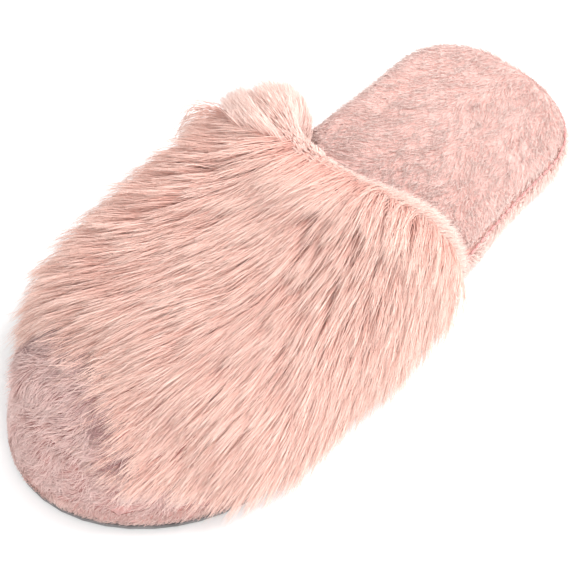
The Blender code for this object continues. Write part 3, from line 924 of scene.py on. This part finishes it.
def wrap_materials():
    # The fibre's dark tone serves the painted shade towards the toe as well as the strands' own differences
    # in tone.
    fibre = strand_material(
        "wrap_fibre", (0.82, 0.56, 0.51), (0.93, 0.73, 0.67), (0.97, 0.83, 0.77),
        dark=(0.66, 0.55, 0.55), middling=(0.90, 0.85, 0.85)
    )
    # The wrap's ground carries painted shade that darkens it towards the toe.
    ground = cloth_material(
        "wrap_ground", (0.72, 0.45, 0.41), (0.84, 0.61, 0.56), painted_toe_shade=(0.72, 0.62, 0.62)
    )
    return fibre, ground


def toe_materials():
    # The fibre's dark tone serves the painted shadow under the long pile's tips as well as the strands' own
    # differences in tone.
    fibre = strand_material(
        "toe_fibre", (0.58, 0.32, 0.30), (0.80, 0.55, 0.51), (0.92, 0.74, 0.70),
        dark=(0.50, 0.39, 0.40), middling=(0.95, 0.93, 0.93)
    )
    return fibre, cloth_material("toe_ground", (0.46, 0.23, 0.21), (0.66, 0.40, 0.37))


def lining_materials():
    fibre = strand_material(
        "lining_fibre", (0.96, 0.74, 0.66), (0.98, 0.79, 0.71), (0.98, 0.83, 0.76),
        dark=(0.9, 0.86, 0.84), middling=(0.98, 0.97, 0.97)
    )
    return fibre, cloth_material("lining_ground", (0.86, 0.62, 0.55), (0.97, 0.79, 0.72))


def collar_material():
    return strand_material(
        "collar_fibre", (0.93, 0.66, 0.59), (0.955, 0.69, 0.62), (0.97, 0.76, 0.69),
        dark=(0.92, 0.87, 0.86), middling=(0.98, 0.97, 0.97)
    )


def edge_material():
    return strand_material(
        "edge_fibre", (0.82, 0.53, 0.47), (0.88, 0.64, 0.57), (0.91, 0.71, 0.64),
        dark=(0.84, 0.76, 0.74), middling=(0.97, 0.96, 0.96)
    )


def make_upper(toe_look, toe_ground):
    """The long pile on its backing, and the plush over the toe."""
    long_look, long_ground = long_materials()
    skin = Skin("upper_fur", outward(UPPER_SPINE_HEIGHT), flip=True)
    make_long_pile(skin, long_look)
    make_backing(skin, long_ground, toe_ground)
    make_toe_cap(skin, toe_look)
    return skin


def make_collars(skin, edge_look):
    """The lining's pile round the throat: tall at its inner end, short at its outer."""
    look = collar_material()
    make_collar_strip(skin, look)
    make_collar(
        "collar_pile_inner", -1, comb_collar, 12.5 * MM, 0.5 * MM, 0.2 * MM, look, seed=42, least=-2
    )
    make_collar("collar_pile_outer", 1, comb_heelwards, 8 * MM, 0.5 * MM, 0.13 * MM, edge_look, seed=43)


def make_footbed():
    look, ground = plush_materials()
    cushion = make_plush(
        "footbed", "footbed_cover", footbed_faces, ground, look,
        spacing=0.8 * MM, length=5.5 * MM, lift=0.5, comb=comb_footbed, seed=31,
        sink=1.0 * MM, tone=0.55, radius=0.12 * MM
    )


def make_sole_wrap():
    look, ground = wrap_materials()
    # The wrap's pile falls from tone 0.9 to 0.15 towards the toe: painted shade.
    make_plush(
        "sole_wrap", "side_wrap", wrap_faces, ground, look,
        spacing=0.7 * MM, length=7.5 * MM, lift=0.75, comb=comb_towards((0, -0.8, -0.2), 0.6), seed=32,
        sink=1.0 * MM, toe_sink=0.5 * MM, tone=0.9, painted_toe_shade_tone=0.15, radius=0.12 * MM, toe_scale=0.45,
        lowest=2.9 * MM
    )


def make_toe_band(look, ground):
    make_plush(
        "toe_band", "toe_band", band_faces, ground, look,
        spacing=0.75 * MM, length=6.5 * MM, lift=0.35, comb=comb_towards((-0.4, -0.7, -0.5), 0.6, 12 * MM),
        seed=33, sink=2.5 * MM, tone=0.6
    )


def make_lining_and_binding(edge_look):
    look, ground = lining_materials()
    make_plush(
        "lining", "upper_lining", inward(UPPER_SPINE_HEIGHT), ground, look,
        spacing=1.2 * MM, length=3.6 * MM, lift=0.45, comb=comb_towards((0, -1, -0.3), 0.5), seed=34,
        sink=0.4 * MM
    )
    make_plush(
        "binding", "throat_binding", outward(20 * MM), ground, edge_look,
        spacing=0.62 * MM, length=3.2 * MM, lift=0.55, comb=comb_towards((0, -0.8, -0.5), 0.4), seed=35,
        sink=0.8 * MM
    )


def make_seams():
    rim = thread_material("pink_thread", (0.42, 0.17, 0.16), (0.64, 0.33, 0.31))
    pale = thread_material("pale_thread", (0.80, 0.56, 0.50), (0.97, 0.80, 0.74))
    edge = thread_material("edge_thread", (0.76, 0.47, 0.41), (0.90, 0.64, 0.57))
    toe = thread_material("toe_thread", (0.46, 0.23, 0.21), (0.66, 0.40, 0.37))
    make_stitches(
        "rim_stitches", "rim_seam_thread", rim, radius=0.6 * MM, raised=1.1 * MM, toe_sunk=1.6 * MM
    )
    make_stitches("throat_stitches", "throat_seam_thread", edge, radius=0.3 * MM)
    make_stitches("toe_band_stitches", "toe_band_thread", toe)
    make_stitches("closing_stitches", "wrap_closing_thread", pale, pitch=1.8 * MM)


def main():
    make_stage()
    make_camera()
    carried_over()
    toe_look, toe_ground = toe_materials()
    edge_look = edge_material()
    skin = make_upper(toe_look, toe_ground)
    make_collars(skin, edge_look)
    make_footbed()
    make_sole_wrap()
    make_toe_band(toe_look, toe_ground)
    make_lining_and_binding(edge_look)
    make_seams()


main()
